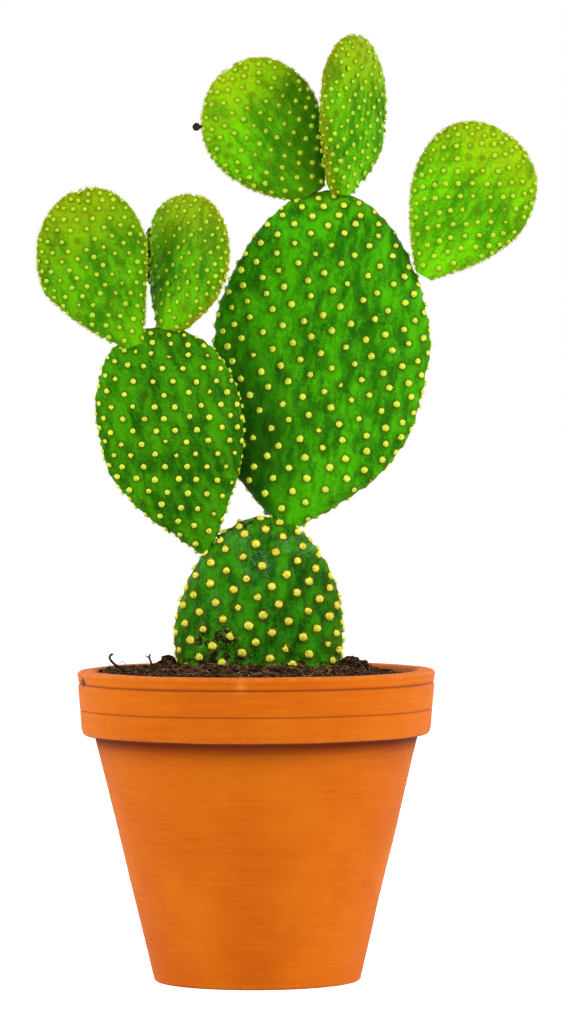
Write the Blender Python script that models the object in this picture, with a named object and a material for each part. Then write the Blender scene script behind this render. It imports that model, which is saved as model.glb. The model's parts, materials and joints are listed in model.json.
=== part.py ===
"""A bunny-ear paddle cactus growing in a turned terracotta pot.

Metres, +Z up. The pot stands on z = 0 and the front faces -Y. The origin is under the middle of the
whole object's outline, so the pot's axis stands a little to the left of it: an empty marks that axis,
and every piece is placed from it. The plant is nine flattened stem joints (pads) and one dried bud.
Each pad is drawn upright in its own axes, X across its face, Y through it and Z along it, and is then
turned and set on its parent.
"""

import math
from dataclasses import dataclass

import bmesh
import bpy

GAP = 0.0003  # clearance between pieces that touch
MERGE = 0.00001  # points closer than this are one
SHARP_ANGLE = math.radians(35)

# The pot, as turned on its axis
POT_X = -0.0132  # the pot's axis, from the origin
POT_HEIGHT = 0.1230
RIM_RADIUS = 0.0708  # at the lip
RIM_FOOT_RADIUS = 0.0688  # the rim band narrows downwards
RIM_FOOT_Z = 0.0974
BODY_TOP_RADIUS = 0.0638
FOOT_RADIUS = 0.0410
WALL_TOP_RADIUS = 0.0637  # the bore at the lip
FLOOR_RADIUS = 0.0360  # the bore at the floor
FLOOR_Z = 0.0095
DRAIN_RADIUS = 0.009
GROOVE_DROPS = (0.0049, 0.0154)  # the two turned lines, below the lip
GROOVE_WIDTH = 0.0011
GROOVE_DEPTH = 0.0007
FOOT_CHAMFER = 0.0012
RIM_ROUND = 0.0024
LIP_ROUND = 0.0018
POT_SEGMENTS = 56

# The soil
SOIL_EDGE_Z = 0.1200
SOIL_CROWN_Z = 0.1245
SOIL_SEGMENTS = 40
SOIL_RING_RADII = (0.018, 0.036, 0.050)

# Every pad
EDGE_POWER = 2.6  # cross-section: 2 is an ellipse, more is blunter at the edges
TAPER = 0.25  # how much thinner the tip is than the foot
NECK_THICKNESS = 0.72  # the foot's thickness, as a share of the pad's
NECK_END = 0.25  # where the foot has reached full thickness, as a share of the length

# The dried bud
BUD_RADIUS = 0.00145
BUD_STALK_RADIUS = 0.0006
BUD_STALK_LENGTH = 0.0019
BUD_CENTRE = (-0.0229, 0.0200, 0.3386)
BUD_SEGMENTS = 16


@dataclass(frozen=True)
class Pad:
    """One flattened joint of the stem."""

    root: tuple  # the middle of its foot, from the pot's axis
    lean: float  # degrees to the right
    pitch: float  # degrees towards the front
    yaw: float  # degrees about its own length
    length: float
    width: float
    thickness: float
    neck: float  # width of the foot
    widest: float  # height of the widest place, as a share of the length
    skew: float  # how much higher that place is on the right side
    lower: float  # outline power below the widest place
    flare: float  # how slowly the foot opens out
    upper: float  # outline power above the widest place
    sweep: float  # how far the middle line bows to the right
    segments: int
    rings: int
    parent: str = ""


PADS = {
    "base_pad": Pad(
        (0.0031, 0.0, 0.0970), 0, 0, 0, 0.0865, 0.0655, 0.0240, 0.040,
        0.50, 0.03, 2.0, 0.6, 1.55, -0.0020, 28, 16,
    ),
    "left_pad": Pad(
        (-0.0198, 0.0025, 0.1703), -16.2, 11, 0, 0.0920, 0.0575, 0.0150, 0.006,
        0.58, 0.06, 2.1, 1.25, 2.1, 0.0012, 28, 16, "base_pad",
    ),
    "big_pad": Pad(
        (0.0126, 0.0040, 0.1800), 8.5, -5, 0, 0.1340, 0.0851, 0.0170, 0.010,
        0.58, 0.00, 3.3, 1.2, 1.5, 0.0032, 28, 16, "base_pad",
    ),
    "left_ear": Pad(
        (-0.0473, -0.0150, 0.2511), -20.5, 4, 0, 0.0644, 0.0440, 0.0100, 0.008,
        0.55, 0.04, 1.3, 1.05, 2.25, -0.0031, 24, 14, "left_pad",
    ),
    "mid_ear": Pad(
        (-0.0336, -0.0140, 0.2570), 10.8, -3, -40, 0.0540, 0.0406, 0.0100, 0.007,
        0.60, -0.13, 1.7, 0.8, 2.2, 0.0030, 24, 14, "left_pad",
    ),
    "young_pad": Pad(
        (-0.0412, -0.0040, 0.2850), 0, -80, 90, 0.0190, 0.0218, 0.0042, 0.006,
        0.55, 0.00, 1.8, 0.9, 2.2, 0.0000, 16, 10, "mid_ear",
    ),
    "top_left_ear": Pad(
        (0.0234, 0.0150, 0.3116), -32.9, -6, 0, 0.0606, 0.0473, 0.0100, 0.009,
        0.58, 0.01, 1.8, 0.85, 2.0, -0.0019, 24, 14, "big_pad",
    ),
    "narrow_ear": Pad(
        (0.0340, 0.0140, 0.3110), 6.6, 0, 50, 0.0634, 0.0385, 0.0100, 0.005,
        0.51, -0.10, 1.75, 0.85, 2.3, 0.0026, 24, 14, "big_pad",
    ),
    "right_ear": Pad(
        (0.0669, 0.0120, 0.2787), 28.6, 2, 0, 0.0651, 0.0484, 0.0110, 0.006,
        0.58, -0.02, 1.7, 1.05, 2.75, 0.0016, 24, 14, "big_pad",
    ),
}

TERRACOTTA = (0.72, 0.22, 0.030)
DARK_SOIL = (0.055, 0.028, 0.012)
DRY_BROWN = (0.020, 0.012, 0.008)
SKIN_ROUGHNESS = 0.5
SKIN_COLOURS = {
    "base_pad": (0.030, 0.165, 0.006),
    "left_pad": (0.050, 0.260, 0.005),
    "big_pad": (0.050, 0.285, 0.005),
    "left_ear": (0.150, 0.430, 0.005),
    "mid_ear": (0.150, 0.400, 0.005),
    "young_pad": (0.030, 0.110, 0.004),
    "top_left_ear": (0.150, 0.450, 0.004),
    "narrow_ear": (0.180, 0.480, 0.004),
    "right_ear": (0.170, 0.460, 0.004),
}


def material(name, colour, roughness):
    """A plain Principled material."""
    made = bpy.data.materials.new(name)
    made.use_nodes = True
    shader = made.node_tree.nodes["Principled BSDF"]
    shader.inputs["Base Color"].default_value = (*colour, 1.0)
    shader.inputs["Roughness"].default_value = roughness
    shader.inputs["Metallic"].default_value = 0.0
    return made


def add_object(name, bm, colour, roughness):
    """Makes an object on the pot's axis from a bmesh, shaded smooth except at its sharp edges."""
    bmesh.ops.recalc_face_normals(bm, faces=bm.faces)
    mesh = bpy.data.meshes.new(name)
    bm.to_mesh(mesh)
    bm.free()
    mesh.shade_smooth()
    mesh.set_sharp_from_angle(angle=SHARP_ANGLE)
    thing = bpy.data.objects.new(name, mesh)
    thing.parent = bpy.data.objects["pot_axis"]
    mesh.materials.append(material(name, colour, roughness))
    bpy.context.scene.collection.objects.link(thing)
    return thing


def cut(thing, cutter):
    """Takes a hidden cutter out of an object with an exact Boolean."""
    boolean = thing.modifiers.new("cut_" + cutter.name, "BOOLEAN")
    boolean.operation = "DIFFERENCE"
    boolean.solver = "EXACT"
    boolean.object = cutter


def spin_profile(points, segments):
    """Turns an open outline of (radius, height) points about Z; an end on the axis is closed."""
    bm = bmesh.new()
    verts = [bm.verts.new((radius, 0, height)) for radius, height in points]
    edges = [bm.edges.new(pair) for pair in zip(verts, verts[1:])]
    bmesh.ops.spin(
        bm, geom=verts + edges, cent=(0, 0, 0), axis=(0, 0, 1),
        angle=math.tau, steps=segments, use_merge=True,
    )
    bmesh.ops.remove_doubles(bm, verts=bm.verts, dist=MERGE)
    return bm


def between(low, high, z_low, z_high, z):
    """The value at height z on a straight line from low to high."""
    return low + (high - low) * (z - z_low) / (z_high - z_low)


def rim_radius(z):
    """The radius of the rim band at height z."""
    return between(RIM_FOOT_RADIUS, RIM_RADIUS, RIM_FOOT_Z, POT_HEIGHT, z)


def pot_profile():
    """The pot's whole section, round from the drain hole's foot and back to it."""
    outline = [(DRAIN_RADIUS, 0), (FOOT_RADIUS - FOOT_CHAMFER, 0), (FOOT_RADIUS, FOOT_CHAMFER)]
    outline += [(BODY_TOP_RADIUS, RIM_FOOT_Z)]
    for turn in (0.0, 0.5, 1.0):  # the rim band's rounded foot
        angle = turn * math.pi / 2
        z = RIM_FOOT_Z + RIM_ROUND * (1 - math.cos(angle))
        outline.append((rim_radius(z) - RIM_ROUND * (1 - math.sin(angle)), z))
    for drop in sorted(GROOVE_DROPS, reverse=True):
        z = POT_HEIGHT - drop
        for side, depth in ((-1, 0), (0, GROOVE_DEPTH), (1, 0)):
            outline.append((rim_radius(z) - depth, z + side * GROOVE_WIDTH / 2))
    corner = LIP_ROUND * (1 - math.sqrt(0.5))
    below = POT_HEIGHT - LIP_ROUND
    outline += [(RIM_RADIUS, below), (RIM_RADIUS - corner, POT_HEIGHT - corner)]
    outline += [(RIM_RADIUS - LIP_ROUND, POT_HEIGHT), (WALL_TOP_RADIUS + LIP_ROUND, POT_HEIGHT)]
    outline += [(WALL_TOP_RADIUS + corner, POT_HEIGHT - corner), (bore_radius(below), below)]
    outline += [(FLOOR_RADIUS, FLOOR_Z), (DRAIN_RADIUS, FLOOR_Z), (DRAIN_RADIUS, 0)]
    return outline


def bore_radius(z):
    """The radius of the pot's inner wall at height z."""
    return between(FLOOR_RADIUS, WALL_TOP_RADIUS, FLOOR_Z, POT_HEIGHT, z)


def make_pot():
    bm = spin_profile(pot_profile(), POT_SEGMENTS)
    return add_object("terracotta_pot", bm, TERRACOTTA, 0.85)


def make_soil(pad_hole):
    """The soil fills the bore to just under the lip and mounds up to the plant."""
    floor = FLOOR_Z + GAP
    reach = bore_radius(SOIL_EDGE_Z)
    outline = [(0, floor), (bore_radius(floor) - GAP, floor), (reach - GAP, SOIL_EDGE_Z)]
    for radius in reversed(SOIL_RING_RADII):
        rise = 1 - (radius / reach) ** 2
        outline.append((radius, SOIL_EDGE_Z + (SOIL_CROWN_Z - SOIL_EDGE_Z) * rise))
    outline.append((0, SOIL_CROWN_Z))
    bm = spin_profile(outline, SOIL_SEGMENTS)
    soil = add_object("potting_soil", bm, DARK_SOIL, 0.95)
    cut(soil, pad_hole)
    return soil


def half_width(pad, share, right):
    """Half the pad's width at a share of its length, on its right or left side."""
    widest = pad.widest + (pad.skew if right else -pad.skew)
    full = pad.width / 2
    if share < widest:
        down = (widest - share) / widest
        return pad.neck / 2 + (full - pad.neck / 2) * max(0.0, 1 - down**pad.lower) ** pad.flare
    up = (share - widest) / (1 - widest)
    return full * math.sqrt(max(0.0, 1 - up**pad.upper))


def half_thickness(pad, share):
    """Half the pad's thickness at a share of its length."""
    round_end = math.sqrt(max(0.0, 1 - share**6))
    opened = min(1.0, share / NECK_END) ** 0.7
    neck = NECK_THICKNESS + (1 - NECK_THICKNESS) * opened
    return pad.thickness / 2 * (1 - TAPER * share) * round_end * neck


def superellipse(value):
    """Bends a sine or cosine so that a circle becomes a blunter flattened section."""
    return math.copysign(abs(value) ** (2 / EDGE_POWER), value)


def pad_mesh(pad, grow):
    """A pad from a unit ball, each ring of which is stretched to the pad's section there."""
    bm = bmesh.new()
    bmesh.ops.create_uvsphere(bm, u_segments=pad.segments, v_segments=pad.rings, radius=1)
    for vert in bm.verts:
        share = min(1.0, max(0.0, (1 + vert.co.z) / 2))
        across = max(math.hypot(vert.co.x, vert.co.y), MERGE)  # nearly nothing at the two poles
        cosine, sine = vert.co.x / across, vert.co.y / across
        middle = pad.sweep * 4 * share * (1 - share)
        vert.co.x = middle + (half_width(pad, share, cosine > 0) + grow) * superellipse(cosine)
        vert.co.y = (half_thickness(pad, share) + grow) * superellipse(sine)
        vert.co.z = pad.length * share + grow * (2 * share - 1)
    return bm


def make_pad(name, pad, suffix="", grow=0.0):
    """A pad where it grows: turned about its length, then pitched forwards, then leaned."""
    thing = add_object(name + suffix, pad_mesh(pad, grow), SKIN_COLOURS[name], SKIN_ROUGHNESS)
    thing.location = pad.root
    thing.rotation_mode = "ZXY"
    thing.rotation_euler = (math.radians(pad.pitch), math.radians(pad.lean), math.radians(pad.yaw))
    return thing


def make_bud():
    """A dry round bud whose short stalk points right, into the top left ear's edge."""
    stalk = BUD_STALK_LENGTH
    steps = 5
    outline = [(0, -BUD_RADIUS - stalk), (BUD_STALK_RADIUS, -BUD_RADIUS - stalk)]
    start = math.asin(BUD_STALK_RADIUS / BUD_RADIUS)
    for step in range(steps + 1):
        angle = start + (math.pi - start) * step / steps
        outline.append((BUD_RADIUS * math.sin(angle), -BUD_RADIUS * math.cos(angle)))
    outline[-1] = (0, BUD_RADIUS)
    bm = spin_profile(outline, BUD_SEGMENTS)
    bud = add_object("dried_bud", bm, DRY_BROWN, 0.9)
    bud.location = BUD_CENTRE
    bud.rotation_euler.y = -math.pi / 2
    return bud


def main():
    for old in list(bpy.data.objects):
        bpy.data.objects.remove(old, do_unlink=True)
    axis = bpy.data.objects.new("pot_axis", None)
    axis.location.x = POT_X
    bpy.context.scene.collection.objects.link(axis)
    make_pot()
    grown = {name: make_pad(name, pad, "_clearance", GAP) for name, pad in PADS.items()}
    make_soil(grown["base_pad"])
    for name, pad in PADS.items():
        joint = make_pad(name, pad)
        if pad.parent:
            cut(joint, grown[pad.parent])
    cut(make_bud(), grown["top_left_ear"])
    for clearance in grown.values():
        clearance.hide_render = True
        clearance.display_type = "WIRE"


main()
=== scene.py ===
"""Looks for the potted paddle cactus: fine skins, hair tufts, soil, the turned pot and their finishes."""

import json
import math
import random
from dataclasses import dataclass

import bmesh
import bpy
import numpy as np
from mathutils import Matrix, Vector, noise

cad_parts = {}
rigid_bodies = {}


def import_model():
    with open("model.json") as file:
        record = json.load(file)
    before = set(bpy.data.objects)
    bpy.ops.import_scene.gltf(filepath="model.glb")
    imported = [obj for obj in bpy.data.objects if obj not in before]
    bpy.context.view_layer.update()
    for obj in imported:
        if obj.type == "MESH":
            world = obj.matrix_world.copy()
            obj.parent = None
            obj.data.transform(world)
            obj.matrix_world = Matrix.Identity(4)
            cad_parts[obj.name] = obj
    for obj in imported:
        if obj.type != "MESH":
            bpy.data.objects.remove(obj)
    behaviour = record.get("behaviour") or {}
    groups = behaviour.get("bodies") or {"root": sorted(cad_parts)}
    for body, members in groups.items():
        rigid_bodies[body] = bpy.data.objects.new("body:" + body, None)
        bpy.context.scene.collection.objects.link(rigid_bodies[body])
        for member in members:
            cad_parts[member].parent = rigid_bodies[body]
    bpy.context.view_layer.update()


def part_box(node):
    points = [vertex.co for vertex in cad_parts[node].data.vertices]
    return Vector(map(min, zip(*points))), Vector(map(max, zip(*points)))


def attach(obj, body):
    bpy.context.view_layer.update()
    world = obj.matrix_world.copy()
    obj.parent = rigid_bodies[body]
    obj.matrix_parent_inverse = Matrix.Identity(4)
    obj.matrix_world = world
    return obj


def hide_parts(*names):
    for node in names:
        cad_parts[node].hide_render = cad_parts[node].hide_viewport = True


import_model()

TAU = math.tau
MM = 0.001

POT_LOW, POT_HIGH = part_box("terracotta_pot")
AXIS = Vector(((POT_LOW[0] + POT_HIGH[0]) / 2, (POT_LOW[1] + POT_HIGH[1]) / 2, 0))

# The pot's section, from its axis
POT_HEIGHT = POT_HIGH[2]
RIM_RADIUS = (POT_HIGH[0] - POT_LOW[0]) / 2
RIM_FOOT_RADIUS = 0.0688
RIM_FOOT_Z = 0.0974
BODY_TOP_RADIUS = 0.0638
FOOT_RADIUS = 0.0410
WALL_TOP_RADIUS = 0.0637
FLOOR_RADIUS = 0.0360
FLOOR_Z = 0.0095
DRAIN_RADIUS = 0.009
RIM_ROUND = 0.0020
LIP_ROUND = 0.0018
CHIP_TURN = 75.0
STEP_DROP = 0.0050  # the turned step and the fine line, below the lip
LINE_DROP = 0.0154
FOOT_ROUND = 0.0014
POT_STEPS = 300
JOINT_GAP = 0.0003
MERGE_GAP = 0.00002
STEP_DEPTH, STEP_WIDTH = 0.55 * MM, 0.0005
SHOULDER_DEPTH, SHOULDER_WIDTH = 0.20 * MM, 0.0003
LINE_DEPTH, LINE_WIDTH = 0.30 * MM, 0.0003
CHIP_DROP, CHIP_TALL, CHIP_WIDE = 0.0040, 0.0027, 4.2
CHIP_DEPTH = 0.5 * MM
SMEAR_TURN, SMEAR_WIDE, SMEAR_DROP, SMEAR_TALL = -4.6, 1.4, 0.0034, 0.0022

# Soil
SOIL_EDGE_Z = 0.1200
SOIL_CROWN_Z = 0.1245
SOIL_STEPS = 200
SOIL_RINGS = 64
SOIL_PILES = (  # place from the pot's axis, spread and height
    (-0.0350, 0.0000, 0.0034, 0.0040),
    (0.0385, -0.0010, 0.0062, 0.0048),
    (-0.010, 0.020, 0.020, 0.0010),
)
CRUMBS = 2400
CRUMB_SHAPES = 8
CRUMB_SIZES = (0.0005, 0.0006, 0.0008, 0.0010, 0.0015)
FIBRES = 260
FIBRE_STEP = 0.0010
FIBRE_THICKNESS = 0.00017
TWIG_THICKNESS = 0.00062
# Painted shade: each pad here is painted darker near the tufts of the neighbours given for it
NEIGHBOUR_SHADE_FROM = {"big_pad": ("left_pad", "mid_ear"), "top_left_ear": ("narrow_ear",)}

# Pad sections
EDGE_POWER = 2.6
TAPER = 0.25
NECK_THICKNESS = 0.72
NECK_END = 0.25
GOLDEN_TURN = (math.sqrt(5) - 1) / 2
SKIN_POINT_GAP = 0.00078
FRINGE_HAIRS = 900
FRINGE_RADIUS = 0.17 * MM
FRINGE_LENGTHS = (0.6, 1.7)
TUFT_SHAPES = 5
TUFT_BRISTLES = 13
# How far the painted shade near a neighbour reaches
NEIGHBOUR_SHADE_REACH = 18 * MM
NEAREST_CHUNK = 8000
ROUND = np.linspace(0, TAU, 721)

# Stage, light and camera
ROOM_LIGHT = 0.36
FLOOR_GLOW = 0.75
STAGE_RADIUS = 14.0
LIT_MIDDLE = (0, 0, 0.19)
LIGHTS = (  # name, place, size and power
    ("right_softbox", (1.40, -0.60, 0.95), 0.8, 23),
    ("left_softbox", (-1.40, -0.55, 0.95), 0.8, 18),
    ("front_fill", (-0.2, -2.6, 1.3), 1.2, 12),
    ("right_edge_light", (0.9, 1.2, 0.8), 0.7, 10),
    ("left_edge_light", (-0.9, 1.2, 0.8), 0.7, 10),
)
CAMERA_PLACE = (0.0113, -2.175, 0.229)  # from the foot of the pot's axis
CAMERA_DOWN, CAMERA_ROLL = 1.151, -0.25
CAMERA_LENS, CAMERA_SENSOR = 193.36, 36


@dataclass(frozen=True)
class Pad:
    """One flattened joint of the stem: its place and shape, then its tufts and skin."""

    root: tuple
    lean: float
    pitch: float
    yaw: float
    length: float
    width: float
    thickness: float
    neck: float
    widest: float
    skew: float
    lower: float
    flare: float
    upper: float
    sweep: float
    parent: str
    slot: str
    tuft_area: float  # skin for each tuft, in square millimetres
    tuft_radius: float
    nub: float  # how far the skin swells under a tuft
    edging: float  # how much closer the tufts grow along the edge
    seed: int


PADS = {
    "base_pad": Pad(
        (0.0031, 0.0, 0.0970), 0, 0, 0, 0.0865, 0.0655, 0.0240, 0.040,
        0.50, 0.03, 2.0, 0.6, 1.55, -0.0020, "", "old_skin", 60, 1.85 * MM, 0.55 * MM, 1.4, 11,
    ),
    "left_pad": Pad(
        (-0.0198, 0.0025, 0.1703), -16.2, 11, 0, 0.0920, 0.0575, 0.0150, 0.006,
        0.58, 0.06, 2.1, 1.25, 2.1, 0.0012, "base_pad", "grown_skin", 42, 1.27 * MM, 0.42 * MM, 1.6, 23,
    ),
    "big_pad": Pad(
        (0.0126, 0.0040, 0.1800), 8.5, -5, 0, 0.1340, 0.0851, 0.0170, 0.010,
        0.58, 0.00, 3.3, 1.2, 1.5, 0.0032, "base_pad", "grown_skin", 62, 1.47 * MM, 0.50 * MM, 1.6, 37,
    ),
    "left_ear": Pad(
        (-0.0473, -0.0150, 0.2511), -20.5, 4, 0, 0.0644, 0.0440, 0.0100, 0.008,
        0.55, 0.04, 1.3, 1.05, 2.25, -0.0031, "left_pad", "young_skin", 25, 1.02 * MM, 0.36 * MM, 2.2, 41,
    ),
    "mid_ear": Pad(
        (-0.0336, -0.0140, 0.2570), 10.8, -3, -40, 0.0540, 0.0406, 0.0100, 0.007,
        0.60, -0.13, 1.7, 0.8, 2.2, 0.0030, "left_pad", "young_skin", 24, 0.98 * MM, 0.36 * MM, 2.2, 53,
    ),
    "young_pad": Pad(
        (-0.0412, -0.0040, 0.2850), 0, -80, 90, 0.0190, 0.0218, 0.0042, 0.006,
        0.55, 0.00, 1.8, 0.9, 2.2, 0.0000, "mid_ear", "young_skin", 13, 0.70 * MM, 0.25 * MM, 1.0, 67,
    ),
    "top_left_ear": Pad(
        (0.0234, 0.0150, 0.3116), -32.9, -6, 0, 0.0606, 0.0473, 0.0100, 0.009,
        0.58, 0.01, 1.8, 0.85, 2.0, -0.0019, "big_pad", "young_skin", 29, 1.08 * MM, 0.36 * MM, 2.2, 71,
    ),
    "narrow_ear": Pad(
        (0.0340, 0.0140, 0.3110), 6.6, 0, 50, 0.0634, 0.0385, 0.0100, 0.005,
        0.51, -0.10, 1.75, 0.85, 2.3, 0.0026, "big_pad", "young_skin", 23, 1.02 * MM, 0.40 * MM, 1.6, 83,
    ),
    "right_ear": Pad(
        (0.0669, 0.0120, 0.2787), 28.6, 2, 0, 0.0651, 0.0484, 0.0110, 0.006,
        0.58, -0.02, 1.7, 1.05, 2.75, 0.0016, "big_pad", "young_skin", 27, 1.06 * MM, 0.36 * MM, 2.2, 97,
    ),
}


# ---------------------------------------------------------------- shapes of pads


def half_width(pad, share, right):
    """Half the pad's width at each share of its length, on its right or left side."""
    widest = pad.widest + np.where(right, pad.skew, -pad.skew)
    full = pad.width / 2
    down = np.clip((widest - share) / widest, 0, 1)
    up = np.clip((share - widest) / (1 - widest), 0, 1)
    below = pad.neck / 2 + (full - pad.neck / 2) * (1 - down**pad.lower) ** pad.flare
    above = full * np.sqrt(1 - up**pad.upper)
    return np.where(share < widest, below, above)


def half_thickness(pad, share):
    """Half the pad's thickness at each share of its length."""
    round_end = np.sqrt(np.clip(1 - share**6, 0, 1))
    opened = np.clip(share / NECK_END, 0, 1) ** 0.7
    neck = NECK_THICKNESS + (1 - NECK_THICKNESS) * opened
    return pad.thickness / 2 * (1 - TAPER * share) * round_end * neck


def section(pad, share, turns, edging=0.0):
    """Points round the pad's section: turns runs from 0 to 1 round its girth.

    With edging, the same turns crowd together along both edges.
    """
    cosine, sine = np.cos(ROUND), np.sin(ROUND)
    power = 2 / EDGE_POWER
    across = half_width(pad, share, cosine > 0) * np.sign(cosine) * np.abs(cosine) ** power
    through = half_thickness(pad, share) * np.sign(sine) * np.abs(sine) ** power
    steps = np.hypot(np.diff(across), np.diff(through)) * (1 + edging * np.abs(cosine[1:]) ** 6)
    run = np.concatenate([[0], np.cumsum(steps)])
    where = np.asarray(turns) % 1.0 * run[-1]
    middle = pad.sweep * 4 * share * (1 - share)
    return middle + np.interp(where, run, across), np.interp(where, run, through), run[-1]


def placing(pad):
    """The matrix from the pad's own axes to the world."""
    turn = (
        Matrix.Rotation(math.radians(pad.lean), 4, "Y")
        @ Matrix.Rotation(math.radians(pad.pitch), 4, "X")
        @ Matrix.Rotation(math.radians(pad.yaw), 4, "Z")
    )
    return Matrix.Translation(AXIS + Vector(pad.root)) @ turn


def moved(points, matrix):
    """Numpy points through a matrix."""
    m = np.array(matrix)
    return points @ m[:3, :3].T + m[:3, 3]


def buried(pad, points, margin=0.0):
    """Which world points lie inside a pad."""
    own = moved(points, placing(pad).inverted())
    share = own[:, 2] / pad.length
    along = (share > 0) & (share < 1)
    share = np.clip(share, 0.001, 0.999)
    across = own[:, 0] - pad.sweep * 4 * share * (1 - share)
    wide = half_width(pad, share, across > 0) + margin
    deep = half_thickness(pad, share) + margin
    return along & (np.abs(across / wide) ** EDGE_POWER + np.abs(own[:, 1] / deep) ** EDGE_POWER < 1)


def tuft_spots(pad):
    """Where tufts grow, in the pad's own axes, each with its normal, share and how near the edge it is.

    One spiral climbs the pad by golden turns round its girth, with the same skin for each tuft
    and closer ones along the edges and towards the tip.
    """
    shares = np.linspace(0.004, 0.9995, 500)
    girths = np.array([section(pad, s, [0.0], pad.edging)[2] for s in shares])
    crowding = 1 + pad.edging * np.clip((shares - 0.80) / 0.2, 0, 1) ** 2
    skin = np.concatenate([[0], np.cumsum((girths * crowding)[1:] * np.diff(shares) * pad.length)])
    cell = pad.tuft_area * MM * MM
    rng = random.Random(pad.seed)
    spots = []
    for n in range(int(skin[-1] / cell)):
        share = float(np.interp((n + 0.5) * cell, skin, shares))
        turn = n * GOLDEN_TURN + rng.uniform(-0.006, 0.006)
        share = min(0.998, max(0.01, share + rng.uniform(-0.004, 0.004)))
        here, normal = skin_place(pad, share, turn)
        spots.append((here, normal, share, 1 - abs(normal.y)))
    return spots


def skin_point(pad, share, turn):
    x, y, _ = section(pad, share, [turn], pad.edging)
    return Vector((x[0], y[0], share * pad.length))


def skin_place(pad, share, turn):
    """A point on the pad's skin and the direction out of it."""
    here = skin_point(pad, share, turn)
    along = skin_point(pad, min(0.9995, share + 0.002), turn) - here
    around = skin_point(pad, share, turn + 0.002) - here
    return here, around.cross(along).normalized()


# ---------------------------------------------------------------- mesh helpers


def finish_mesh(name, bm, smooth=True):
    mesh = bpy.data.meshes.new(name)
    bm.to_mesh(mesh)
    bm.free()
    if smooth:
        mesh.shade_smooth()
    return mesh


def show(name, mesh, material, replaced=()):
    """Puts a finished mesh in the scene as a piece of the object."""
    thing = bpy.data.objects.new(name, mesh)
    mesh.materials.clear()
    mesh.materials.append(material)
    bpy.context.scene.collection.objects.link(thing)
    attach(thing, "root")
    if replaced:
        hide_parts(*replaced)
    return thing


def coordinates(mesh):
    flat = np.empty(len(mesh.vertices) * 3)
    mesh.vertices.foreach_get("co", flat)
    return flat.reshape(-1, 3)


def set_coordinates(mesh, points):
    mesh.vertices.foreach_set("co", np.ascontiguousarray(points).ravel())
    mesh.update()


def vertex_normals(mesh):
    flat = np.empty(len(mesh.vertices) * 3)
    mesh.vertices.foreach_get("normal", flat)
    return flat.reshape(-1, 3)


def store(mesh, name, values):
    """Keeps one number or one vector for each vertex as a named attribute."""
    values = np.asarray(values, np.float32)
    if values.ndim == 1:
        mesh.attributes.new(name, "FLOAT", "POINT").data.foreach_set("value", values)
    else:
        mesh.attributes.new(name, "FLOAT_VECTOR", "POINT").data.foreach_set("vector", values.ravel())


def ripples(points, wavelength, seed, terms=9):
    """Smooth pseudo-random undulation, about -1 to 1, as a sum of crossing waves."""
    rng = np.random.default_rng(seed)
    total = np.zeros(len(points))
    for _ in range(terms):
        direction = rng.normal(size=3)
        direction /= np.linalg.norm(direction)
        stretch = rng.uniform(0.7, 1.5)
        total += np.sin(points @ direction * TAU / wavelength * stretch + rng.uniform(0, TAU))
    return total / math.sqrt(terms)


def nearest_two(points, centres):
    """Distances from every point to its nearest and second nearest centre."""
    centres = np.asarray(centres)
    first, second = np.empty(len(points)), np.empty(len(points))
    for start in range(0, len(points), NEAREST_CHUNK):
        part = slice(start, start + NEAREST_CHUNK)
        chunk = points[part]
        far = np.linalg.norm(chunk[:, None, :] - centres[None], axis=2)
        near = np.partition(far, 1, axis=1)
        first[part] = near[:, 0]
        second[part] = near[:, 1]
    return first, second


# ---------------------------------------------------------------- pads


def pad_skin(name, pad, spots, shade_casters):
    """A pad's skin: a ball drawn out to its sections, swollen under the tufts and creased between.

    The places of the neighbours' tufts, in its last argument, mark where the skin is painted darker as
    painted shade from those neighbours.
    """
    around = int(2.1 * pad.width / SKIN_POINT_GAP / 4) * 4
    along = int(1.45 * pad.length / SKIN_POINT_GAP)
    bm = bmesh.new()
    bmesh.ops.create_uvsphere(bm, u_segments=around, v_segments=along, radius=1)
    mesh = finish_mesh(name, bm)
    ball = coordinates(mesh)
    rings = np.rint(np.arccos(np.clip(-ball[:, 2], -1, 1)) / math.pi * along).astype(int)
    turns = np.arctan2(ball[:, 1], ball[:, 0]) / TAU
    own = np.zeros_like(ball)
    for ring in range(along + 1):
        share = (1 - math.cos(math.pi * ring / along)) / 2
        row = rings == ring
        x, y, _ = section(pad, min(share, 0.99999), turns[row])
        own[row] = np.stack([x, y, np.full(len(x), share * pad.length)], axis=1)
    set_coordinates(mesh, own)
    normals = vertex_normals(mesh)
    first, second = nearest_two(own, [tuple(s[0]) for s in spots])
    swell = np.exp(-((first / (pad.tuft_radius * 1.6)) ** 2))
    crease = np.exp(-(((second - first) / (1.0 * MM)) ** 2)) * np.clip(first / (3 * MM), 0, 1)
    share = own[:, 2] / pad.length
    lift = pad.nub * swell - 0.07 * MM * crease
    lift += 0.32 * MM * ripples(own, 0.015, pad.seed) + 0.08 * MM * ripples(own, 0.0036, pad.seed + 1)
    lift *= np.clip(share / 0.04, 0.1, 1)
    store(mesh, "share", share)
    # Painted shade: a ring round each tuft
    store(mesh, "tuft_ring_shade", np.exp(-((first / (pad.tuft_radius * 1.50)) ** 4)))
    store(mesh, "crease", crease)
    store(mesh, "edge", 1 - np.abs(normals[:, 1]))
    store(mesh, "own", own)
    placed = moved(own + normals * lift[:, None], placing(pad))
    # Painted shade: a mask that is 1 beside the neighbours in front and fades away from them
    if len(shade_casters):
        away, _ = nearest_two(placed, shade_casters)
        store(mesh, "neighbour_shade_paint", np.exp(-((away / NEIGHBOUR_SHADE_REACH) ** 2)))
    if not pad.parent:
        store(mesh, "scar", old_scar(placed))
    set_coordinates(mesh, placed)
    return mesh


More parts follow.
